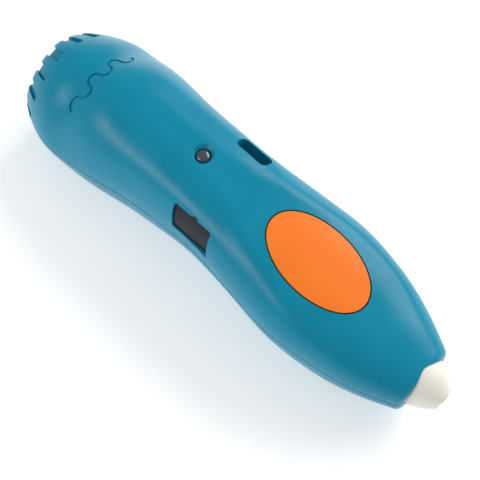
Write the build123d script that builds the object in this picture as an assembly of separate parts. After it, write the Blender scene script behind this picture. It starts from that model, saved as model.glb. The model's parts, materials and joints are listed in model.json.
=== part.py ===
"""Handheld 3-D drawing pen: a moulded two-shell body around a geared strand feed and a small hot end.

Frame: millimetres, +Z up, +X from the strand port at the rear to the nozzle, the USB slot on the +Y
side and the power switch on the -Y side. The origin is the bottom centre of the pen as it lies down.
"""
from build123d import *
from math import ceil, cos, pi, radians, sin, sqrt
import os

os.makedirs("parts", exist_ok=True)

# ---------------------------------------------------------------- driving dimensions
LENGTH = 155.0
REAR_X = -LENGTH / 2
TIP_X = LENGTH / 2
SHELL_FRONT_X = 70.2
DOME_X = -60.0               # the rear dome closes behind this station
AXIS_Z = 14.2                # height of the strand's straight path
STRAND_BORE = 3.4            # a 3 mm strand runs free in it
WALL = 2.2
SIDE_POINTS = 40             # points around each section of the body

# The body's design lines, each a height or width at stations along X.
HALF_WIDTH = [(-60, 22.3), (-45, 21.2), (-25, 18.4), (-5, 17.3), (12, 18.8), (30, 20.6),
              (45, 18.8), (57, 15.7), (70.2, 10.0)]
TOP_LINE = [(-60, 35.2), (-45, 38.8), (-25, 37.4), (-5, 36.8), (12, 35.4), (30, 32.9),
            (45, 29.3), (57, 26.4), (70.2, 21.8)]
BELLY_LINE = [(-60, 1.1), (-45, -0.6), (-25, 1.2), (-5, 4.1), (12, 3.2), (30, 0.7),
              (45, -0.3), (57, 2.1), (70.2, 5.9)]
SEAM_LINE = [(-60, 14.9), (-45, 15.9), (-25, 17.4), (-5, 18.3), (12, 18.6), (30, 18.4),
             (45, 17.4), (57, 15.8), (70.2, 14.3)]
TOP_FULLNESS = [(-60, 1.6), (-45, 1.95), (-25, 2.5), (-5, 3.0), (12, 2.8), (30, 2.6),
                (45, 2.8), (57, 2.6), (70.2, 2.5)]
BELLY_FULLNESS = [(-60, 2.3), (-45, 2.6), (-25, 2.6), (-5, 2.3), (12, 2.0), (30, 2.2),
                  (45, 2.5), (57, 2.5), (70.2, 2.8)]

# Two soft creases on each side of the top: the neck's edge, and the edge of the thumb rest.
NECK_CREASE = [(-40, 4.0), (-13, 4.0), (-4, 5.4), (10, 5.0)]
THUMB_CREASE = [(-2, 8.6), (9, 9.6), (18, 12.2), (34, 15.6), (44, 15.6), (56, 13.0)]
NECK_RISE = 0.35
THUMB_RISE = 0.75
CREASE_WIDTH = 2.6
CREASE_FADE = 12.0

DOME_LENGTH = 28.0
DOME_SIDE_POWER = 1.7        # roundness of the rear dome seen from above, and seen from the side
DOME_TOP_POWER = 1.7
TAIL_RADIUS = 1.2
NOSE_RADIUS = 1.5

SEAM_GAP = 0.4
CORE_INSET = 1.1             # ribs, posts and collars end inside the wall, this deep
ENGRAVING = 0.4

# ---------------------------------------------------------------- controls
BUTTON_X = 29.8
BUTTON_HALF = (17.1, 10.2)
BUTTON_GAP = 0.42
BUTTON_TILT = 11.3           # the thumb rest slopes down to the nozzle by this many degrees
BUTTON_FLANGE = (18.3, 11.5)
BUTTON_FLANGE_TOP = -4.3
BUTTON_FLANGE_THICK = 1.2
BUTTON_SKIRT = 1.7
STEM_RADIUS = 2.2
STEM_END = -6.2
PLUNGER_RADIUS = 1.75
TACT_SIZE = (6.2, 6.2, 3.5)
TACT_TOP = -7.6
BUTTON_BOARD = (24.0, 14.0, 1.2)

SWITCH_WINDOW_X = (-10.4, 3.6)
SWITCH_WINDOW_Z = (23.2, 32.3)
SWITCH_LEAN = 0.55           # the window's top edge lies this much behind its middle
SWITCH_TRAVEL = 3.0
SWITCH_RECESS = 0.6
SWITCH_THICK = 1.2
SWITCH_SECTION_X = -5.0
LEVER_X = -4.75
LEVER_Y = (-13.2, -8.6)
LEVER_Z = (27.0, 28.4)
PRONG_END_Y = -11.4
SLIDE_CASE_X = (-7.6, 0.1)
SLIDE_CASE_Y = (-10.4, -6.8)
SLIDE_CASE_Z = (25.9, 29.4)
PLATE_X = (-14.6, 4.9)       # where the switch plate lies when it is off
PLATE_Z = (22.5, 33.0)

LED_X = -14.0
LENS_RADIUS = 2.3
LENS_SEAT_RADIUS = 3.25
LENS_BASE_Z = 33.4
LENS_DOME_RADIUS = 1.6
BULB_RADIUS = 1.3

USB_X = -5.25
USB_CENTRE = (11.75, 34.4)   # Y and Z of the slot's centre on the surface
USB_TILT = 30.6              # the slot points up and out, this far from straight up
USB_SLOT = (11.3, 5.3)
USB_SLOT_RADIUS = 1.8
USB_WELL_DEPTH = 4.4
USB_WELL_WALL = 0.9
USB_SOCKET = (7.6, 2.8, 5.2)

# ---------------------------------------------------------------- wiring
WIRE_RADIUS = 0.4
# Each pair of leads: its route, the offset from one wire to the other, and its bend radius.
LEADS = {
    "battery_leads": ([(-39, 9, 25), (-30, 9, 25), (-30, 9, 29.5)], (0, 1.6, 0), 2.0),
    "motor_leads": ([(-27, -6, 24.5), (-27, -9, 24.5), (-27, -9, 29.5)], (1.6, 0, 0), 1.2),
    "usb_leads": ([(-7, 3.75, 28.1), (-7, 3.75, 30), (-7, 0.9, 30)], (2.0, 0, 0), 0.8),
    "button_leads": ([(5, -9.6, 28.9), (5, -9.6, 24), (11.5, -9.6, 24), (15.2, -5, 23.8)],
                     (0, 0, 1.0), 1.5),
    "heater_leads": ([(6, 9.6, 28.8), (6, 9.6, 20), (40, 9.6, 20), (43.5, 4.45, 14.2), (48, 4.45, 14.2)],
                     (0, 0, 1.2), 1.6),
}

# ---------------------------------------------------------------- drive train
MODULE = 0.5
PINION_TEETH = 12
FEED_TEETH = 28
SHAFT_DISTANCE = MODULE * (PINION_TEETH + FEED_TEETH) / 2
MOTOR_Z = AXIS_Z + SHAFT_DISTANCE
MOTOR_SIZE = (12.0, 10.0)
MOTOR_X = (-37.0, -22.0)
GEARBOX_X = (-22.0, -13.0)
SHAFT_RADIUS = 1.5
JOURNAL_RADIUS = 4.5
RUNNING_PLAY = 0.05
BUSH_RADIUS = 5.8
SHAFT_BUSH_RADIUS = 2.6
INSERT_RADIUS = 2.9
TOOTH_ROOT = 0.98            # tooth thickness at the root, the pitch circle and the tip
TOOTH_PITCH = 0.62
TOOTH_TIP = 0.24
REAR_PLATE_X = (1.0, 2.6)
GEAR_X = (3.2, 8.2)
FRONT_PLATE_X = (8.8, 10.4)
PLATE_PILLARS = [(9.6, 13.0), (-9.6, 13.0), (6.6, 25.4), (-6.6, 25.4)]

# ---------------------------------------------------------------- hot end
NOZZLE_BASE_RADIUS = 8.0
NOZZLE_BASE_X = 67.4
NOZZLE_TIP_RADIUS = 2.9
NOZZLE_SHOULDER = (76.5, 4.15)
OUTLET_RADIUS = 1.5
BARREL_X = (45.0, 62.0)
SLEEVE_X = (46.0, 61.5)

FLANGE_RADIUS = 8.6
FLANGE_X = (64.2, 66.0)
BRASS_RADIUS = 2.9
INSULATION_RADIUS = (7.2, 6.0)
COIL_RADIUS = 5.4
BARREL_RADIUS = 4.0

# ---------------------------------------------------------------- rear end, guides and fasteners
PORT_RADIUS = 4.6
PORT_LENGTH = 8.6
PORT_FLARE = 1.5
PORT_THROAT_END = 4.5        # the strand bore is plain up to here, and opens out before the tube
PORT_RIM_RADIUS = 5.8
REAR_GUIDE_X = (-70.5, 0.6)
FRONT_GUIDE_X = (10.8, 44.6)
GUIDE_RADIUS = 2.4
SCREW_PLACES = [(-52.0, 15.6), (50.0, 11.2)]
SCREW_JOINT_Z = 13.0
# Cross ribs of the lower shell: place along X, height of the top, radius of the round seat.
SADDLES = [(-60, 16.9, GUIDE_RADIUS), (-44, 16.9, GUIDE_RADIUS), (-30, 19.2, GUIDE_RADIUS),
           (-16, 19.2, GUIDE_RADIUS), (18, AXIS_Z, GUIDE_RADIUS), (36, AXIS_Z, GUIDE_RADIUS),
           (58, AXIS_Z, INSULATION_RADIUS[0])]
RIB = 1.6
SCREW_HEAD_Z = 5.6
SCREW_TIP_Z = 18.5
SCREW_RADIUS = 1.1
SCREW_HEAD_RADIUS = 2.0
POST_RADIUS = 2.7

NOTCH_COUNT = 15
NOTCH_LENGTH = 7.0
NOTCH_WIDTH = 3.3
NOTCH_PHASE = 0.5            # the first notch lies this much of a step past straight up
NOTCH_INNER_RADIUS = 10.5
MARK_COUNT = 6
MARK_RADIUS = 2.0
MARK_STROKE = 0.8
MARK_START = (-55.0, -11.5)  # centre of the first half ring

# ---------------------------------------------------------------- battery and boards
BATTERY_X = (-64.0, -39.0)
BATTERY_HALF_Y = 10.6
BATTERY_Z = (18.2, 27.4)
CRADLE_WALL = 0.9
CRADLE_BASE_Z = 17.0
CRADLE_LIP_Z = 20.4
PAD_HALF_Y = 7.0
PAD_THICK = 1.8
BOARD_X = (-34.0, 8.0)
BOARD_HALF_Y = 10.5
BOARD_Z = (29.5, 30.5)


# ---------------------------------------------------------------- helpers
def along(line, x):
    """Smooth, never overshooting value of a design line at x."""
    xs = [point[0] for point in line]
    ys = [point[1] for point in line]
    if x <= xs[0]:
        return ys[0]
    if x >= xs[-1]:
        return ys[-1]
    chords = [(ys[k + 1] - ys[k]) / (xs[k + 1] - xs[k]) for k in range(len(xs) - 1)]

    def slope(k):
        if k == 0:
            return 0.0
        if k == len(chords):
            return chords[-1]
        if chords[k - 1] * chords[k] <= 0:
            return 0.0
        return 2 * chords[k - 1] * chords[k] / (chords[k - 1] + chords[k])

    k = max(i for i in range(len(chords)) if xs[i] <= x)
    span = xs[k + 1] - xs[k]
    t = (x - xs[k]) / span
    start = (2 * t**3 - 3 * t**2 + 1) * ys[k] + (t**3 - 2 * t**2 + t) * span * slope(k)
    end = (3 * t**2 - 2 * t**3) * ys[k + 1] + (t**3 - t**2) * span * slope(k + 1)
    return start + end


def fade(line, x):
    """1 along a crease, easing to 0 at both of its ends."""
    inside = min(x - line[0][0], line[-1][0] - x) / CREASE_FADE
    t = min(max(inside, 0.0), 1.0)
    return t * t * (3 - 2 * t)


def crease(line, rise, x, y):
    """Height that a soft crease adds to the top surface at (x, y)."""
    off = (abs(y) - along(line, x)) / CREASE_WIDTH
    return rise * fade(line, x) * 2.0 ** (-off * off)


def edge_round(past, radius):
    """How far a quarter-round edge has turned inwards, past its start."""
    if past <= 0:
        return 0.0
    return radius - sqrt(max(radius**2 - past**2, 0))


def section_sizes(x):
    """Half width, top, belly, seam height and the two fullnesses of the body at x."""
    lines = (HALF_WIDTH, TOP_LINE, BELLY_LINE, SEAM_LINE, TOP_FULLNESS, BELLY_FULLNESS)
    width, top, belly, seam, top_power, belly_power = [along(line, x) for line in lines]
    if x < DOME_X:
        depth = (DOME_X - x) / DOME_LENGTH
        width *= (1 - depth**DOME_SIDE_POWER) ** (1 / DOME_SIDE_POWER)
        share = (1 - depth**DOME_TOP_POWER) ** (1 / DOME_TOP_POWER)
        top = AXIS_Z + (top - AXIS_Z) * share
        belly = AXIS_Z + (belly - AXIS_Z) * share
        seam = AXIS_Z + (seam - AXIS_Z) * share
    step = edge_round(REAR_X + TAIL_RADIUS - x, TAIL_RADIUS)
    step += edge_round(x - (SHELL_FRONT_X - NOSE_RADIUS), NOSE_RADIUS)
    width -= step
    top -= step
    belly += step
    return width, top, belly, seam, top_power, belly_power


def surface_point(x, angle, inset, creased):
    """Point of the body's surface at x and at an angle around it, moved inwards by inset."""
    width, top, belly, seam, top_power, belly_power = section_sizes(x)
    upper = sin(angle) >= 0
    power = top_power if upper else belly_power
    height = top - inset - seam if upper else seam - belly - inset
    reach = (abs(cos(angle)) ** power + abs(sin(angle)) ** power) ** (-1 / power)
    y = (width - inset) * cos(angle) * reach
    z = seam + height * sin(angle) * reach
    if creased and upper:
        z += crease(NECK_CREASE, NECK_RISE, x, y) * sin(angle)
        z += crease(THUMB_CREASE, THUMB_RISE, x, y) * sin(angle)
    return Vector(x, y, z)


def whole_outline(x, inset):
    """Closed outline of the body at x."""
    steps = [k / SIDE_POINTS for k in range(SIDE_POINTS + 1)]
    points = [surface_point(x, 2 * pi * step, inset, False) for step in steps[:-1]]
    return Wire([Edge.make_spline(points, periodic=True, parameters=steps)])


def half_outline(x, upper):
    """Outline of the body above or below its parting line at x, closed by a straight edge."""
    count = SIDE_POINTS if upper else SIDE_POINTS // 2
    turn = pi if upper else -pi
    drop = Vector(0, 0, 0 if upper else -SEAM_GAP)
    steps = [k / count for k in range(count + 1)]
    points = [surface_point(x, turn * step, 0, upper) + drop for step in steps]
    return Wire([Edge.make_spline(points, parameters=steps), Edge.make_line(points[-1], points[0])])


def stations(inset):
    """Places along X where the body's sections are drawn, closer together at both ends."""
    rear = REAR_X + inset * 1.1
    front = SHELL_FRONT_X - inset * 1.6
    dome = [rear + depth for depth in (0.02, 0.2, 0.7, 1.5, 2.7, 4.6, 7.2, 10.4, 14)]
    first = DOME_X + 1.5
    last = front - 5.5
    count = ceil((last - first) / 8)
    middle = [first + (last - first) * k / count for k in range(count + 1)]
    nose = [front - depth for depth in (3.0, 1.7, 0.9, 0.4, 0.1, 0.01)]
    return dome + middle + nose


def whole_form(inset):
    """The body's form moved inwards by inset, as one lofted solid."""
    return Solid.make_loft([whole_outline(x, inset) for x in stations(inset)])


def half_form(upper):
    """The body's outer form above or below the parting line."""
    return Solid.make_loft([half_outline(x, upper) for x in stations(0)])


def slab(x_range, y_range, z_range):
    """Box between two values on each axis."""
    size = [high - low for low, high in (x_range, y_range, z_range)]
    middle = [(high + low) / 2 for low, high in (x_range, y_range, z_range)]
    return Pos(*middle) * Box(*size)


def rod(x_range, radius, y=0.0, z=AXIS_Z):
    """Cylinder along X."""
    start, end = x_range
    return Pos((start + end) / 2, y, z) * Rot(0, 90, 0) * Cylinder(radius, end - start)


def tube(x_range, outer, inner, y=0.0, z=AXIS_Z):
    """Pipe along X."""
    start, end = x_range
    return rod(x_range, outer, y, z) - rod((start - 1, end + 1), inner, y, z)


def post(x, y, z_range, radius):
    """Cylinder along Z."""
    low, high = z_range
    return Pos(x, y, (low + high) / 2) * Cylinder(radius, high - low)


def save(name, *pieces):
    """Write one sub-part, which may be a group of separate solids."""
    solids = [solid for piece in pieces for solid in piece.solids()]
    whole = solids[0] if len(solids) == 1 else Compound(children=solids)
    export_step(whole, f"parts/{name}.step")


# ---------------------------------------------------------------- body forms shared by the shells
core_form = whole_form(CORE_INSET)
cavity_form = whole_form(WALL)

button_plane = Plane(origin=(BUTTON_X, 0, along(TOP_LINE, BUTTON_X)),
                     x_dir=(cos(radians(BUTTON_TILT)), 0, -sin(radians(BUTTON_TILT))),
                     z_dir=(sin(radians(BUTTON_TILT)), 0, cos(radians(BUTTON_TILT))))
usb_plane = Plane(origin=(USB_X, *USB_CENTRE), x_dir=(1, 0, 0),
                  z_dir=(0, sin(radians(USB_TILT)), cos(radians(USB_TILT))))


def button_prism(half_sizes, low, high):
    """Elliptical prism square to the thumb rest, between two heights over its middle."""
    outline = Pos(0, 0, low) * Ellipse(*half_sizes)
    return button_plane * extrude(outline, high - low)


def usb_prism(size, radius, low, high):
    """Rounded rectangular prism along the plug's direction, between two heights."""
    outline = Pos(0, 0, low) * RectangleRounded(*size, radius)
    return usb_plane * extrude(outline, high - low)


# ---------------------------------------------------------------- shells
def waist_prism(x_range, inset):
    """Straight prism with the waist's section, so that a plate of this form can slide along X."""
    start, end = x_range
    face = Face(whole_outline(SWITCH_SECTION_X, inset))
    moved = face.moved(Location((start - SWITCH_SECTION_X, 0, 0)))
    return Solid.extrude(moved, Vector(end - start, 0, 0))


def switch_band(x_range, z_range, outer_inset, inner_inset):
    """Curved plate on the -Y side between two insets from the waist's surface."""
    start, end = x_range
    band = waist_prism(x_range, outer_inset) - waist_prism((start - 1, end + 1), inner_inset)
    return band & slab((start - 1, end + 1), (-25, 0), z_range)


def switch_openings():
    """Window for the power switch, the track that its plate slides in, and the notch that marks it."""
    low, high = SWITCH_WINDOW_Z
    start, end = SWITCH_WINDOW_X
    corners = [(start + SWITCH_LEAN, low), (end + SWITCH_LEAN, low),
               (end - SWITCH_LEAN, high), (start - SWITCH_LEAN, high)]
    outline = fillet(Polygon(*corners, align=None).vertices(), 0.8)
    window = extrude(Plane.XZ * outline, 25)
    play = 0.3
    track_x = (PLATE_X[0] - play, PLATE_X[1] + SWITCH_TRAVEL + play)
    track_z = (PLATE_Z[0] - play, PLATE_Z[1] + play)
    track = switch_band(track_x, track_z, SWITCH_RECESS - 0.1, 6.0)
    pointer = Polygon((-1.3, 0), (1.3, 0), (0, 1.0), align=None)
    mark = extrude(Plane.XZ * Pos(sum(SWITCH_WINDOW_X) / 2 + 0.1, high - 0.1) * pointer, 25)
    return [window, track, mark - waist_prism((-12, 4), ENGRAVING)]


def nozzle_opening():
    """Stepped round hole at the front that grips the nozzle cover's flange."""
    return (rod((SHELL_FRONT_X - 9, SHELL_FRONT_X + 2), NOZZLE_BASE_RADIUS + 0.15)
            + rod((FLANGE_X[0] - 0.05, FLANGE_X[1] + 0.05), FLANGE_RADIUS + 0.1))


def port_opening():
    """Stepped hole at the rear for the strand port."""
    return rod((REAR_X - 1, REAR_X + 9), PORT_RADIUS) + rod((REAR_X - 1, REAR_X + 1.2), PORT_RIM_RADIUS)


def led_opening():
    """Hole for the light pipe with a wide chamfered seat."""
    top = along(TOP_LINE, LED_X)
    seat = Cone(LENS_RADIUS + 0.1, LENS_SEAT_RADIUS + 0.25, 1.2)
    return post(LED_X, 0, (top - 5, top + 2), LENS_RADIUS + 0.1) + Pos(LED_X, 0, top - 0.2) * seat


def usb_opening():
    """Rounded slot for the plug's moulding."""
    return usb_prism(USB_SLOT, USB_SLOT_RADIUS, -USB_WELL_DEPTH - 3, 6)


def notch_bodies():
    """Ring of notches around the rear edge, which run down to the core form."""
    sides = (-NOTCH_WIDTH / 2, NOTCH_WIDTH / 2)
    notch = slab((REAR_X - 1, REAR_X + NOTCH_LENGTH), sides, (NOTCH_INNER_RADIUS, 30))
    turned = [Rot(360 * (k + NOTCH_PHASE) / NOTCH_COUNT, 0, 0) * notch for k in range(NOTCH_COUNT)]
    return (Pos(0, 0, AXIS_Z) * Compound(children=turned)) - core_form


def wave_bodies():
    """Plain scalloped line across the rear, a row of half rings turned up and down in turn."""
    ring = Circle(MARK_RADIUS + MARK_STROKE / 2) - Circle(MARK_RADIUS - MARK_STROKE / 2)
    bodies = []
    for k in range(MARK_COUNT):
        side = 1 if k % 2 else -1
        half = ring & Pos(side * MARK_RADIUS * 2, 0) * Rectangle(MARK_RADIUS * 4, MARK_RADIUS * 4)
        y = MARK_START[1] + 2 * MARK_RADIUS * k
        bodies.append(extrude(Pos(MARK_START[0], y, 25) * half, 20))
    return Compound(children=bodies) - whole_form(ENGRAVING)


def screw_sites():
    """Every shell screw's place, on both sides of the centre line."""
    return [(x, side * y) for x, y in SCREW_PLACES for side in (-1, 1)]


def end_blocks():
    """Solid rings inside both ends, bored for the nozzle cover and the strand port."""
    nose = rod((SHELL_FRONT_X - 7, SHELL_FRONT_X - 2), FLANGE_RADIUS + 1.6)
    tail = rod((REAR_X + 2, REAR_X + 7), PORT_RADIUS + 1.8)
    return nose, tail


def top_shell():
    """Upper moulding: openings for every control, the USB collar and the screw posts."""
    blank = half_form(True)
    wide = [size + 2 * USB_WELL_WALL for size in USB_SLOT]
    collar = usb_prism(wide, USB_SLOT_RADIUS + USB_WELL_WALL, -USB_WELL_DEPTH, 1)
    posts = [post(x, y, (SCREW_JOINT_Z, 40), POST_RADIUS) for x, y in screw_sites()]
    trimmed = Compound(children=[collar] + posts) & core_form
    ends = Compound(children=list(end_blocks())) & blank & core_form
    shell = blank.cut(cavity_form).fuse(*trimmed.solids(), *ends.solids())
    cuts = [nozzle_opening(), port_opening(), led_opening(), usb_opening()] + switch_openings()
    cuts += [button_prism([half + BUTTON_GAP for half in BUTTON_HALF], -12, 8)]
    cuts += [post(x, y, (SCREW_JOINT_Z - 1, SCREW_TIP_Z + 0.5), SCREW_RADIUS) for x, y in screw_sites()]
    return shell.cut(*cuts, *notch_bodies().solids(), *wave_bodies().solids())


def bottom_shell():
    """Lower moulding: the cross ribs and the bosses for the screws, flat where it rests."""
    blank = half_form(False)
    ribs = [slab((x - RIB / 2, x + RIB / 2), (-30, 30), (-2, top)) for x, top, radius in SADDLES]
    bosses = [post(x, y, (-2, SCREW_JOINT_Z - 0.1), POST_RADIUS) for x, y in screw_sites()]
    inside = Compound(children=ribs + bosses + list(end_blocks())) & blank & core_form
    shell = blank.cut(cavity_form).fuse(*inside.solids())
    cuts = [nozzle_opening(), port_opening()]
    cuts += [rod((x - RIB, x + RIB), radius) for x, top, radius in SADDLES]
    cuts += [post(x, y, (-2, SCREW_HEAD_Z + 1.6), SCREW_HEAD_RADIUS + 0.3) for x, y in screw_sites()]
    cuts += [post(x, y, (-2, SCREW_JOINT_Z + 1), SCREW_RADIUS + 0.15) for x, y in screw_sites()]
    cuts += [slab((-200, 200), (-60, 60), (-20, 0))]
    return shell.cut(*cuts, *notch_bodies().solids())


def shell_screw(x, y):
    """Pan-head screw from below, through the lower boss into the upper post."""
    head = post(x, y, (SCREW_HEAD_Z, SCREW_HEAD_Z + 1.6), SCREW_HEAD_RADIUS)
    shank = post(x, y, (SCREW_HEAD_Z + 1.6, SCREW_TIP_Z), SCREW_RADIUS)
    socket = extrude(Pos(x, y, SCREW_HEAD_Z - 0.1) * RegularPolygon(0.9, 6), 1.0)
    return head + shank - socket


# ---------------------------------------------------------------- controls
def feed_button():
    """Thumb button: a crowned skin with a skirt, a flange that keeps it in, and a stem."""
    crown = button_prism(BUTTON_HALF, BUTTON_FLANGE_TOP - 0.5, 8) & half_form(True)
    inner = [half - BUTTON_SKIRT for half in BUTTON_HALF]
    hollow = button_prism(inner, -12, 8) & cavity_form
    flange = button_prism(BUTTON_FLANGE, BUTTON_FLANGE_TOP - BUTTON_FLANGE_THICK, BUTTON_FLANGE_TOP)
    stem_top = button_prism((STEM_RADIUS, STEM_RADIUS), STEM_END, -1.2)
    return (crown + flange - hollow) + stem_top


def button_box(size, top, radius=0.2):
    """Rounded block under the button, square to it, with its top at a height."""
    return button_plane * extrude(Pos(0, 0, top - size[2]) * RectangleRounded(size[0], size[1], radius),
                                  size[2])


def tact_switch_body():
    """Square switch body with a bore for its plunger."""
    bore = button_prism((PLUNGER_RADIUS + 0.1,) * 2, TACT_TOP - 2.6, TACT_TOP + 1)
    return button_box(TACT_SIZE, TACT_TOP) - bore


def tact_plunger():
    """Round plunger that the button's stem pushes."""
    return button_prism((PLUNGER_RADIUS,) * 2, TACT_TOP - 1.6, STEM_END - RUNNING_PLAY)


def button_board():
    """Small board under the button, with two mounting holes."""
    board = button_box(BUTTON_BOARD, TACT_TOP - TACT_SIZE[2], 1.5)
    holes = [button_plane * Pos(side * 10, 0, -12) * Cylinder(1.1, 8) for side in (-1, 1)]
    return board - holes[0] - holes[1]


def power_switch_cap():
    """Curved plate behind the window, with two prongs that take the switch's lever between them."""
    plate = switch_band(PLATE_X, PLATE_Z, SWITCH_RECESS, SWITCH_RECESS + SWITCH_THICK)
    prongs = [slab((LEVER_X + low, LEVER_X + low + 1.2), (-16, PRONG_END_Y), (26.6, 28.8))
              for low in (-2.05, 0.85)]
    trimmed = Compound(children=prongs) & waist_prism((-20, 10), SWITCH_RECESS + 0.4)
    return plate.fuse(*trimmed.solids())


def slide_switch_lever():
    """Lever of the slide switch."""
    return slab((LEVER_X - 0.75, LEVER_X + 0.75), LEVER_Y, LEVER_Z)


def slide_switch_body():
    """Metal case of the slide switch, slotted for its lever."""
    case = slab(SLIDE_CASE_X, SLIDE_CASE_Y, SLIDE_CASE_Z)
    slot = slab((LEVER_X - 0.85, LEVER_X + SWITCH_TRAVEL + 0.85), (SLIDE_CASE_Y[0] - 1, LEVER_Y[1] + 0.1),
                (LEVER_Z[0] - 0.1, LEVER_Z[1] + 0.1))
    return case - slot


def led_lens():
    """Smoked light pipe with a domed top and a flange under the shell."""
    stem = post(LED_X, 0, (LENS_BASE_Z, along(TOP_LINE, LED_X)), LENS_RADIUS)
    domed = fillet(stem.edges().group_by(Axis.Z)[-1], LENS_DOME_RADIUS)
    return domed + post(LED_X, 0, (LENS_BASE_Z, LENS_BASE_Z + 1.0), LENS_RADIUS + 0.9)


def status_led():
    """Round indicator lamp on the main board."""
    bulb_z = BOARD_Z[1] + BULB_RADIUS + 0.05
    return post(LED_X, 0, (BOARD_Z[1], bulb_z), BULB_RADIUS) + Pos(LED_X, 0, bulb_z) * Sphere(BULB_RADIUS)


# ---------------------------------------------------------------- charging port
def usb_socket():
    """Steel shroud of the micro-USB socket, open towards the slot."""
    wide, high, deep = USB_SOCKET
    mouth = -USB_WELL_DEPTH - 0.2
    block = usb_prism((wide, high), 0.6, mouth - deep, mouth)
    inside = usb_prism((wide - 0.7, high - 0.7), 0.4, mouth - deep + 0.6, mouth + 1)
    return block - inside


def usb_tongue():
    """Contact tongue inside the socket."""
    mouth = -USB_WELL_DEPTH - 0.2
    return usb_prism((USB_SOCKET[0] - 2.6, 0.7), 0.1, mouth - USB_SOCKET[2] + 0.6, mouth - 0.8)


def usb_board():
    """Small board that carries the socket square to the slot."""
    top = -USB_WELL_DEPTH - 0.2 - USB_SOCKET[2]
    return usb_prism((11.0, 8.0), 0.8, top - 1.0, top)


# ---------------------------------------------------------------- boards and battery
def main_board():
    """Control board under the top shell, notched beside the charging port."""
    board = slab(BOARD_X, (-BOARD_HALF_Y, BOARD_HALF_Y), BOARD_Z)
    notch = slab((-13.0, 2.5), (0.9, 20), (20, 40))
    holes = [post(x, y, (20, 40), 1.1) for x, y in ((-31.5, 8), (-31.5, -8), (5.5, 8), (5.5, -8))]
    return board - notch - holes[0] - holes[1] - holes[2] - holes[3]


def board_chips():
    """Controller, motor driver, charger and two capacitors on the board's upper face."""
    blocks = [(-22, 3, 5.0, 5.0, 1.0), (-26, -5, 4.0, 5.0, 1.2), (-7, -5, 4.5, 3.5, 1.2)]
    chips = [slab((x - a / 2, x + a / 2), (y - b / 2, y + b / 2), (BOARD_Z[1], BOARD_Z[1] + high))
             for x, y, a, b, high in blocks]
    cans = [post(x, -3, (BOARD_Z[1], BOARD_Z[1] + 2.2), 1.6) for x in (-19.5, 2.5)]
    return chips + cans


def battery_cell():
    """Flat lithium cell above the strand guide, with soft corners."""
    cell = slab(BATTERY_X, (-BATTERY_HALF_Y, BATTERY_HALF_Y), BATTERY_Z)
    return fillet(cell.edges().filter_by(Axis.X), 2.0)


def battery_cradle():
    """Tray under the cell, with a low lip on each side."""
    half_y = BATTERY_HALF_Y + CRADLE_WALL
    block = slab((BATTERY_X[0] - 0.5, BATTERY_X[1] + 0.5), (-half_y, half_y), (CRADLE_BASE_Z, CRADLE_LIP_Z))
    return block - slab(BATTERY_X, (-BATTERY_HALF_Y, BATTERY_HALF_Y), (BATTERY_Z[0], 30))


def battery_pad():
    """Foam strip that presses on the cell."""
    top = BATTERY_Z[1] + PAD_THICK
    return slab((BATTERY_X[0] + 6, BATTERY_X[1] - 1), (-PAD_HALF_Y, PAD_HALF_Y), (BATTERY_Z[1], top))


# ---------------------------------------------------------------- drive train
def gear(teeth, x_range, z, tooth_up):
    """Spur gear with flat-sided teeth, one tooth or one gap pointing straight up or down."""
    root = MODULE * (teeth / 2 - 1.25)
    tip = MODULE * (teeth / 2 + 1)
    pitch = MODULE * teeth / 2
    half_root = TOOTH_ROOT / 2 / root
    half_pitch = TOOTH_PITCH / 2 / pitch
    half_tip = TOOTH_TIP / 2 / tip
    points = []
    for k in range(teeth):
        middle = 2 * pi * (k + (0 if tooth_up else 0.5)) / teeth + pi / 2
        sides = [(root, -half_root), (pitch, -half_pitch), (tip, -half_tip),
                 (tip, half_tip), (pitch, half_pitch), (root, half_root)]
        points += [(r * cos(middle + a), r * sin(middle + a)) for r, a in sides]
    start, end = x_range
    flat = Plane(origin=(start, 0, z), x_dir=(0, 1, 0), z_dir=(1, 0, 0)) * make_face(
        Polyline(*points, close=True))
    return extrude(flat, end - start, dir=(1, 0, 0))


def feed_gear():
    """Large hollow gear around the strand, with a journal on each side."""
    wheel = gear(FEED_TEETH, GEAR_X, AXIS_Z, True)
    hub = rod((REAR_PLATE_X[0], FRONT_PLATE_X[1]), JOURNAL_RADIUS)
    return wheel + hub - rod((REAR_PLATE_X[0] - 1, FRONT_PLATE_X[1] + 1), INSERT_RADIUS)


def feed_thread():
    """Steel insert whose inner edges bite on the strand and drive it forward as it turns."""
    insert = tube((REAR_PLATE_X[0], FRONT_PLATE_X[1]), INSERT_RADIUS, 1.45)
    grooves = [rod((x, x + 0.6), 1.85) for x in (1.6, 2.8, 4.0, 5.2, 6.4, 7.6, 8.8)]
    for groove in grooves:
        insert -= groove
    return insert


def drive_pinion():
    """Small gear pressed on the motor's shaft."""
    wheel = gear(PINION_TEETH, GEAR_X, MOTOR_Z, False)
    return wheel - rod((GEAR_X[0] - 1, GEAR_X[1] + 1), SHAFT_RADIUS, z=MOTOR_Z)


def drive_shaft():
    """Output shaft of the gearmotor."""
    return rod((GEARBOX_X[1] - 6.0, FRONT_PLATE_X[1] + 0.4), SHAFT_RADIUS, z=MOTOR_Z)


def motor_can():
    """Small brushed motor: a round can with two flats, an end cap and a rear boss."""
    can = rod(MOTOR_X, MOTOR_SIZE[0] / 2, z=MOTOR_Z)
    half_height = MOTOR_SIZE[1] / 2
    flats = slab(MOTOR_X, (-10, 10), (MOTOR_Z - half_height, MOTOR_Z + half_height))
    return (can & flats) + rod((MOTOR_X[0] - 1.0, MOTOR_X[0]), 2.0, z=MOTOR_Z)


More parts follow.
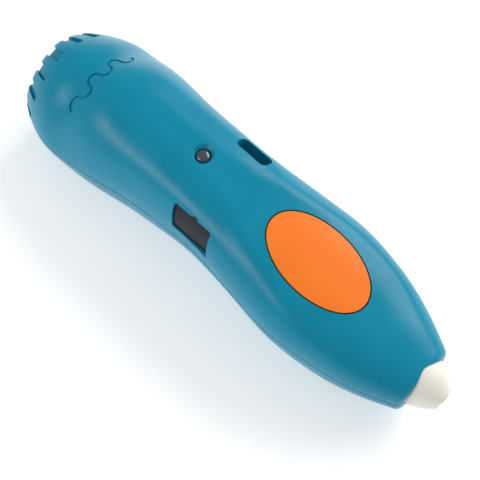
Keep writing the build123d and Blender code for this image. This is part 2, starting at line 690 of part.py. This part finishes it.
def motor_gearbox():
    """Closed reduction gearbox on the motor's front, bored for the output shaft."""
    half_y, half_z = MOTOR_SIZE[0] / 2, MOTOR_SIZE[1] / 2
    box = slab(GEARBOX_X, (-half_y, half_y), (MOTOR_Z - half_z, MOTOR_Z + half_z))
    collar = rod((GEARBOX_X[1], GEARBOX_X[1] + 1.2), 3.0, z=MOTOR_Z)
    bore = rod((GEARBOX_X[1] - 6.1, GEARBOX_X[1] + 3), SHAFT_RADIUS + RUNNING_PLAY, z=MOTOR_Z)
    return box + collar - bore


def frame_plate(x_range, shaft_hole):
    """Side plate of the feed unit, which carries the bushes."""
    start, end = x_range
    outline = (Pos(0, AXIS_Z) * Circle(8.0) + Pos(0, AXIS_Z - 1.2) * Rectangle(23.2, 5.6)
               + Pos(0, 20.6) * Rectangle(17.0, 13.6))
    for y, z in PLATE_PILLARS:
        outline -= Pos(y, z) * Circle(0.8)
    outline -= Pos(0, AXIS_Z) * Circle(BUSH_RADIUS)
    outline -= Pos(0, MOTOR_Z) * Circle(shaft_hole)
    return extrude(Plane(origin=(start, 0, 0), x_dir=(0, 1, 0), z_dir=(1, 0, 0)) * outline, end - start,
                   dir=(1, 0, 0))


def frame_pillars():
    """Spacers that hold the two plates apart."""
    return [tube((REAR_PLATE_X[1], FRONT_PLATE_X[0]), 1.5, 0.8, y, z) for y, z in PLATE_PILLARS]


def frame_screws():
    """Long screws through the plates and pillars."""
    return [rod((REAR_PLATE_X[0] - 0.3, FRONT_PLATE_X[1]), 0.8, y, z)
            + rod((FRONT_PLATE_X[1], FRONT_PLATE_X[1] + 1.0), 1.5, y, z) for y, z in PLATE_PILLARS]


def feed_bushes():
    """Bronze bushes that the feed gear's journals turn in."""
    bore = JOURNAL_RADIUS + RUNNING_PLAY
    return [tube(x_range, BUSH_RADIUS, bore) for x_range in (REAR_PLATE_X, FRONT_PLATE_X)]


def shaft_bush():
    """Bronze bush at the end of the motor's shaft."""
    return tube(FRONT_PLATE_X, SHAFT_BUSH_RADIUS, SHAFT_RADIUS + RUNNING_PLAY, z=MOTOR_Z)


# ---------------------------------------------------------------- strand path and hot end
def strand_port():
    """Ring at the rear that the strand is pushed into, with a flared mouth and a seat for its tube."""
    body = rod((REAR_X, REAR_X + 1.2), PORT_RIM_RADIUS) + rod((REAR_X, REAR_X + PORT_LENGTH), PORT_RADIUS)
    mouth = Pos(REAR_X + PORT_FLARE / 2, 0, AXIS_Z) * Rot(0, 90, 0)
    flare = mouth * Cone(2.9, STRAND_BORE / 2, PORT_FLARE)
    relief = rod((REAR_X + PORT_THROAT_END, REAR_GUIDE_X[0]), GUIDE_RADIUS)
    seat = rod((REAR_GUIDE_X[0], REAR_X + PORT_LENGTH + 1), GUIDE_RADIUS)
    return body - flare - rod((REAR_X - 1, REAR_X + PORT_LENGTH), STRAND_BORE / 2) - relief - seat


def rear_guide_tube():
    """Smooth tube under the battery and motor that leads the strand to the feed gear."""
    return tube(REAR_GUIDE_X, GUIDE_RADIUS, STRAND_BORE / 2)


def front_guide_tube():
    """Cool tube from the feed gear to the hot end."""
    return tube(FRONT_GUIDE_X, GUIDE_RADIUS, STRAND_BORE / 2)


def heater_barrel():
    """Brass barrel that melts the strand."""
    neck = rod((BARREL_X[0], BARREL_X[0] + 1.6), GUIDE_RADIUS + 1.0)
    body = rod((BARREL_X[0] + 1.6, BARREL_X[1]), BARREL_RADIUS)
    return neck + body - rod((40, 70), STRAND_BORE / 2 - 0.1)


def heater_coil():
    """Ceramic sleeve with the heating wire, wound as a row of rings."""
    sleeve = tube((SLEEVE_X[0] + 2, SLEEVE_X[1] - 1), 4.9, BARREL_RADIUS)
    for k in range(7):
        start = SLEEVE_X[0] + 3 + 1.6 * k
        sleeve += tube((start, start + 0.8), COIL_RADIUS, BARREL_RADIUS)
    return sleeve


def insulation_sleeve():
    """Heat-proof sleeve around the heater."""
    return tube(SLEEVE_X, *INSULATION_RADIUS)


def thermistor():
    """Temperature sensor bead held against the barrel's front end."""
    return rod((SLEEVE_X[1] - 0.8, SLEEVE_X[1] + 0.3), 0.7, z=AXIS_Z + BARREL_RADIUS + 0.75)


def melt_nozzle():
    """Brass tip inside the nozzle cover."""
    cone_x = (72.5, 75.6)
    middle = Pos(sum(cone_x) / 2, 0, AXIS_Z) * Rot(0, 90, 0)
    cone = middle * Cone(BRASS_RADIUS, 1.3, cone_x[1] - cone_x[0])
    collar = rod((BARREL_X[1], BARREL_X[1] + 1.4), 4.6)
    body = rod((BARREL_X[1] + 1.4, cone_x[0]), BRASS_RADIUS)
    return collar + body + cone - rod((60, cone_x[0] + 0.4), 1.4) - rod((60, 80), 0.5)


def nozzle_cover():
    """White heat-proof cover: a domed cone with a flange held inside the shells."""
    plane = Plane(origin=(0, 0, AXIS_Z), x_dir=(1, 0, 0), z_dir=(0, -1, 0))
    side = ThreePointArc((NOZZLE_BASE_X, NOZZLE_BASE_RADIUS), (73.0, 6.7), NOZZLE_SHOULDER)
    lip = ThreePointArc(NOZZLE_SHOULDER, (77.25, 3.55), (TIP_X, NOZZLE_TIP_RADIUS))
    profile = Polyline((TIP_X, NOZZLE_TIP_RADIUS), (TIP_X, OUTLET_RADIUS), (75.9, OUTLET_RADIUS),
                       (75.9, 2.1), (72.4, BRASS_RADIUS + 0.2), (FLANGE_X[1], BRASS_RADIUS + 0.2),
                       (FLANGE_X[1], 5.2), (FLANGE_X[0], 5.2), (FLANGE_X[0], FLANGE_RADIUS),
                       (FLANGE_X[1], FLANGE_RADIUS), (FLANGE_X[1], NOZZLE_BASE_RADIUS),
                       (NOZZLE_BASE_X, NOZZLE_BASE_RADIUS))
    return revolve(plane * make_face(side + lip + profile), Axis((0, 0, AXIS_Z), (1, 0, 0)), 360)


# ---------------------------------------------------------------- wiring
def wire(points, bend):
    """Insulated wire along straight runs joined by round bends."""
    path = FilletPolyline(*points, radius=bend)
    profile = Plane(origin=path @ 0, z_dir=path % 0) * Circle(WIRE_RADIUS)
    return sweep(profile, path)


def lead_pair(points, spacing, bend):
    """Two equal wires side by side."""
    half = Vector(*spacing) * 0.5
    return [wire([Vector(*point) + half * side for point in points], bend) for side in (-1, 1)]


# ---------------------------------------------------------------- write every sub-part
save("top_shell", top_shell())
save("bottom_shell", bottom_shell())
save("shell_screws", *[shell_screw(x, y) for x, y in screw_sites()])
save("feed_button", feed_button())
save("tact_switch_body", tact_switch_body())
save("tact_plunger", tact_plunger())
save("button_board", button_board())
save("power_switch_cap", power_switch_cap())
save("slide_switch_lever", slide_switch_lever())
save("slide_switch_body", slide_switch_body())
save("led_lens", led_lens())
save("status_led", status_led())
save("usb_socket", usb_socket())
save("usb_tongue", usb_tongue())
save("usb_board", usb_board())
save("main_board", main_board())
save("board_chips", *board_chips())
save("battery_cell", battery_cell())
save("battery_cradle", battery_cradle())
save("battery_pad", battery_pad())
save("feed_gear", feed_gear())
save("feed_thread", feed_thread())
save("drive_pinion", drive_pinion())
save("drive_shaft", drive_shaft())
save("motor_can", motor_can())
save("motor_gearbox", motor_gearbox())
save("frame_plate_rear", frame_plate(REAR_PLATE_X, SHAFT_RADIUS + 0.8))
save("frame_plate_front", frame_plate(FRONT_PLATE_X, SHAFT_BUSH_RADIUS))
save("frame_pillars", *frame_pillars())
save("frame_screws", *frame_screws())
save("feed_bushes", *feed_bushes())
save("shaft_bush", shaft_bush())
save("strand_port", strand_port())
save("rear_guide_tube", rear_guide_tube())
save("front_guide_tube", front_guide_tube())
save("heater_barrel", heater_barrel())
save("heater_coil", heater_coil())
save("insulation_sleeve", insulation_sleeve())
save("thermistor", thermistor())
save("melt_nozzle", melt_nozzle())
save("nozzle_cover", nozzle_cover())
for leads_name, (route, spacing, bend) in LEADS.items():
    save(leads_name, *lead_pair(route, spacing, bend))
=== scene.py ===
"""Studio scene for the handheld 3-D drawing pen: materials, lights, floor and camera around the CAD frame."""
import json
from math import cos, radians, sin

import bpy
from mathutils import Matrix, Vector

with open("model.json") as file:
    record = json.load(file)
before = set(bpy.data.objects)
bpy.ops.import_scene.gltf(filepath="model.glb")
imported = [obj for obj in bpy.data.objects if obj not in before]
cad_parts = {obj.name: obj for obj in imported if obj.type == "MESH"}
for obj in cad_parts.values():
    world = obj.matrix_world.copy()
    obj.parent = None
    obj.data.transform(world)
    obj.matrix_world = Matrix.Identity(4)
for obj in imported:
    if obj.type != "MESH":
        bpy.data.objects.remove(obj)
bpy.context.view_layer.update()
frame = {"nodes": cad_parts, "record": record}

nodes = frame["nodes"]
MM = 0.001

# ---------------------------------------------------------------- camera
CAMERA_AZIMUTH = radians(44.0)
CAMERA_ELEVATION = radians(64.8)
CAMERA_DISTANCE = 288.2 * MM
CAMERA_SIDESTEP = 0.19 * MM
CAMERA_DROP = 6.44 * MM
TARGET = Vector((0, 0, 17 * MM))
SENSOR = 36.0
LENS = 73.9


def camera_axes():
    """Unit vectors to the camera's right, up and back."""
    a, e = CAMERA_AZIMUTH, CAMERA_ELEVATION
    right = Vector((cos(a), sin(a), 0))
    up = Vector((-sin(a) * sin(e), cos(a) * sin(e), cos(e)))
    back = Vector((sin(a) * cos(e), -cos(a) * cos(e), sin(e)))
    return right, up, back


def make_camera():
    """Camera at the viewing angle of the reference."""
    right, up, back = camera_axes()
    data = bpy.data.cameras.new("studio_camera")
    data.lens = LENS
    data.sensor_width = SENSOR
    data.clip_start = 0.01
    camera = bpy.data.objects.new("studio_camera", data)
    bpy.context.scene.collection.objects.link(camera)
    place = TARGET + back * CAMERA_DISTANCE + right * CAMERA_SIDESTEP - up * CAMERA_DROP
    turn = Matrix((right, up, back)).transposed().to_4x4()
    camera.matrix_world = Matrix.Translation(place) @ turn
    bpy.context.scene.camera = camera


# ---------------------------------------------------------------- material helpers
def new_material(name, **values):
    """Principled material with constant values on the shader's own sockets."""
    material = bpy.data.materials.new(name)
    material.use_nodes = True
    shader = material.node_tree.nodes["Principled BSDF"]
    for socket, value in values.items():
        shader.inputs[socket.replace("_", " ")].default_value = value
    return material


def add(material, kind, **settings):
    """Add a node; settings that are sockets are set on its inputs, others on the node."""
    node = material.node_tree.nodes.new(kind)
    for key, value in settings.items():
        if hasattr(node, key):
            setattr(node, key, value)
        else:
            node.inputs[key.replace("_", " ")].default_value = value
    return node


def wire(material, output, target):
    """Link one node's output to another's input."""
    material.node_tree.links.new(output, target)


def place_of(material):
    """Coordinates in metres, fixed to the piece."""
    return add(material, "ShaderNodeTexCoord").outputs["Object"]


def noise(material, scale, detail=2.0, roughness=0.5, stretch=None):
    """Noise whose grain is 1/scale metres; stretch makes it longer along an axis."""
    texture = add(material, "ShaderNodeTexNoise", Scale=scale, Detail=detail, Roughness=roughness)
    place = place_of(material)
    if stretch:
        mapping = add(material, "ShaderNodeMapping", Scale=stretch)
        wire(material, place, mapping.inputs["Vector"])
        place = mapping.outputs["Vector"]
    wire(material, place, texture.inputs["Vector"])
    return texture.outputs["Fac"]


def spread(material, source, low, high):
    """Map a 0 to 1 value onto low to high."""
    node = add(material, "ShaderNodeMapRange")
    node.inputs["From Min"].default_value = 0.3
    node.inputs["From Max"].default_value = 0.7
    node.inputs["To Min"].default_value = low
    node.inputs["To Max"].default_value = high
    wire(material, source, node.inputs["Value"])
    return node.outputs["Result"]


def tint(material, source, colour, other):
    """Blend two colours by a value and set it as the base colour."""
    ramp = add(material, "ShaderNodeValToRGB")
    ramp.color_ramp.elements[0].position = 0.3
    ramp.color_ramp.elements[0].color = (*colour, 1)
    ramp.color_ramp.elements[1].position = 0.7
    ramp.color_ramp.elements[1].color = (*other, 1)
    wire(material, source, ramp.inputs["Fac"])
    shader = material.node_tree.nodes["Principled BSDF"]
    wire(material, ramp.outputs["Color"], shader.inputs["Base Color"])


def relief(material, *layers):
    """Stack bump layers, each (value, depth in metres)."""
    shader = material.node_tree.nodes["Principled BSDF"]
    normal = None
    for value, depth in layers:
        bump = add(material, "ShaderNodeBump", Strength=1.0, Distance=depth)
        wire(material, value, bump.inputs["Height"])
        if normal is not None:
            wire(material, normal, bump.inputs["Normal"])
        normal = bump.outputs["Normal"]
    wire(material, normal, shader.inputs["Normal"])


def vary_roughness(material, source, low, high):
    """Let the roughness follow a value, from low to high."""
    shader = material.node_tree.nodes["Principled BSDF"]
    wire(material, spread(material, source, low, high), shader.inputs["Roughness"])


def shade(colour, factor):
    """The colour, lighter or darker."""
    return tuple(min(channel * factor, 1.0) for channel in colour)


# ---------------------------------------------------------------- materials
TEAL = (0.001, 0.24, 0.375)
ORANGE = (1.0, 0.215, 0.022)
IVORY = (0.84, 0.81, 0.73)
# colour of the soot stain around the outlet, also used as painted shade inside the outlet hole
SOOT_AND_SHADE = (0.03, 0.024, 0.02)
AXIS_HEIGHT = 14.2 * MM        # height of the strand's path through the nozzle
SOOT_AND_SHADE_START = 1.52 * MM         # the outlet's rim, and the radius where its soot stain and painted shade have faded out
SOOT_AND_SHADE_END = 1.75 * MM


def moulded_plastic(name, colour, roughness, grain=0.000012, coat=0.0, shine=0.5):
    """Injection-moulded plastic: faint flow clouds, fine satin texture and soft handling marks."""
    material = new_material(name, Specular_IOR_Level=shine, Coat_Weight=coat, Coat_Roughness=0.2)
    tint(material, noise(material, 60, 3), shade(colour, 0.95), shade(colour, 1.05))
    vary_roughness(material, noise(material, 180, 4, 0.6), roughness - 0.04, roughness + 0.06)
    relief(material, (noise(material, 4200, 2), grain), (noise(material, 90, 2), 0.00002))
    return material


def scorch_and_shade_outlet(material):
    """Darken the plastic near the strand's axis: a soot stain from the hot tip, and painted shade that makes
    the outlet hole look dark.
    """
    split = add(material, "ShaderNodeSeparateXYZ")
    wire(material, place_of(material), split.inputs["Vector"])
    across = add(material, "ShaderNodeCombineXYZ")
    wire(material, split.outputs["Y"], across.inputs["Y"])
    wire(material, split.outputs["Z"], across.inputs["Z"])
    radius = add(material, "ShaderNodeVectorMath", operation="DISTANCE")
    wire(material, across.outputs["Vector"], radius.inputs[0])
    radius.inputs[1].default_value = (0, 0, AXIS_HEIGHT)
    reach = add(material, "ShaderNodeMapRange")
    reach.inputs["From Min"].default_value = SOOT_AND_SHADE_START
    reach.inputs["From Max"].default_value = SOOT_AND_SHADE_END
    wire(material, radius.outputs["Value"], reach.inputs["Value"])
    # painted shade and soot: the outlet's bore and rim are painted dark
    mix = add(material, "ShaderNodeMix", data_type="RGBA")
    shader = material.node_tree.nodes["Principled BSDF"]
    clean = shader.inputs["Base Color"].links[0].from_socket
    wire(material, reach.outputs["Result"], mix.inputs["Factor"])
    mix.inputs["A"].default_value = (*SOOT_AND_SHADE, 1)
    wire(material, clean, mix.inputs["B"])
    wire(material, mix.outputs["Result"], shader.inputs["Base Color"])
    return material


def metal(name, colour, roughness, stretch=(1, 12, 12)):
    """Turned or drawn metal with fine marks along one direction."""
    material = new_material(name, Metallic=1.0)
    marks = noise(material, 900, 3, 0.6, stretch)
    tint(material, noise(material, 150, 2), shade(colour, 0.9), shade(colour, 1.08))
    vary_roughness(material, marks, roughness - 0.06, roughness + 0.08)
    relief(material, (marks, 0.000008))
    return material


def make_materials():
    """One finished material for each of the record's material slots."""
    return {
        "teal_shell": moulded_plastic("teal_shell", TEAL, 0.28, shine=0.22),
        "orange_button": moulded_plastic("orange_button", ORANGE, 0.38, shine=0.2),
        "nozzle_white": scorch_and_shade_outlet(moulded_plastic("nozzle_white", IVORY, 0.45)),
        "switch_dark": moulded_plastic("switch_dark", (0.012, 0.013, 0.022), 0.45, shine=0.25),
        "lens_smoke": moulded_plastic("lens_smoke", (0.035, 0.042, 0.06), 0.12, 0.000002, 1.0),
        "dark_plastic": moulded_plastic("dark_plastic", (0.02, 0.02, 0.023), 0.45),
        "natural_plastic": moulded_plastic("natural_plastic", (0.7, 0.68, 0.6), 0.4),
        "ptfe": moulded_plastic("ptfe", (0.82, 0.82, 0.8), 0.35),
        "ceramic": moulded_plastic("ceramic", (0.74, 0.7, 0.6), 0.7),
        "foam": moulded_plastic("foam", (0.05, 0.05, 0.055), 0.9, 0.00012),
        "cell_wrap": moulded_plastic("cell_wrap", (0.45, 0.47, 0.5), 0.3),
        "board_green": moulded_plastic("board_green", (0.01, 0.11, 0.04), 0.3, 0.00002),
        "wire_red": moulded_plastic("wire_red", (0.5, 0.02, 0.015), 0.4),
        "steel": metal("steel", (0.55, 0.55, 0.56), 0.32),
        "brass": metal("brass", (0.72, 0.5, 0.2), 0.28),
        "bronze": metal("bronze", (0.5, 0.3, 0.12), 0.42),
    }


def dress(materials):
    """Give each CAD node its slot's material."""
    for row in frame["record"]["subparts"]:
        node = nodes[row["node"]]
        node.data.materials.clear()
        node.data.materials.append(materials[row["material_slot"]])


# ---------------------------------------------------------------- floor and light
FLOOR_HALF = 3.0               # metres from the pen to the floor's edges
FLOOR_GLOW = 0.3
SURROUNDINGS = 0.43            # brightness of the white surroundings
# Each soft box: its place and size in metres, and its power in watts.
SOFT_BOXES = {
    "key": ((0.1, 0.6, 0.45), (0.7, 0.4), 4.8),
    "strip": ((-0.3, -0.6, 0.38), (0.6, 0.2), 2.2),
}


def make_floor():
    """Large pale floor, faintly lit from within so that shadows on it stay soft."""
    mesh = bpy.data.meshes.new("studio_floor")
    turns = ((-1, -1), (1, -1), (1, 1), (-1, 1))
    corners = [(x * FLOOR_HALF, y * FLOOR_HALF, 0) for x, y in turns]
    mesh.from_pydata(corners, [], [(0, 1, 2, 3)])
    floor = bpy.data.objects.new("studio_floor", mesh)
    bpy.context.scene.collection.objects.link(floor)
    material = new_material("studio_floor", Roughness=0.9, Specular_IOR_Level=0.1,
                            Emission_Strength=FLOOR_GLOW)
    tint(material, noise(material, 3, 2), (0.94, 0.94, 0.94), (0.96, 0.96, 0.96))
    mesh.materials.append(material)


def area_light(name, place, size, power):
    """Soft box that faces the middle of the pen."""
    data = bpy.data.lights.new(name, "AREA")
    data.shape = "RECTANGLE"
    data.size, data.size_y = size
    data.energy = power
    light = bpy.data.objects.new(name, data)
    bpy.context.scene.collection.objects.link(light)
    light.location = place
    aim = Vector((0, 0, 15 * MM))
    light.rotation_euler = (aim - Vector(place)).to_track_quat("-Z", "Y").to_euler()


def make_lights():
    """White surroundings, a large soft box beyond the slot side and a strip on the switch side."""
    world = bpy.data.worlds.new("studio")
    world.use_nodes = True
    background = world.node_tree.nodes["Background"]
    background.inputs["Color"].default_value = (1.0, 1.0, 1.0, 1)
    background.inputs["Strength"].default_value = SURROUNDINGS
    bpy.context.scene.world = world
    for name, (place, size, power) in SOFT_BOXES.items():
        area_light(name, place, size, power)


scene = bpy.context.scene
scene.view_settings.view_transform = "Standard"
make_camera()
dress(make_materials())
make_floor()
make_lights()
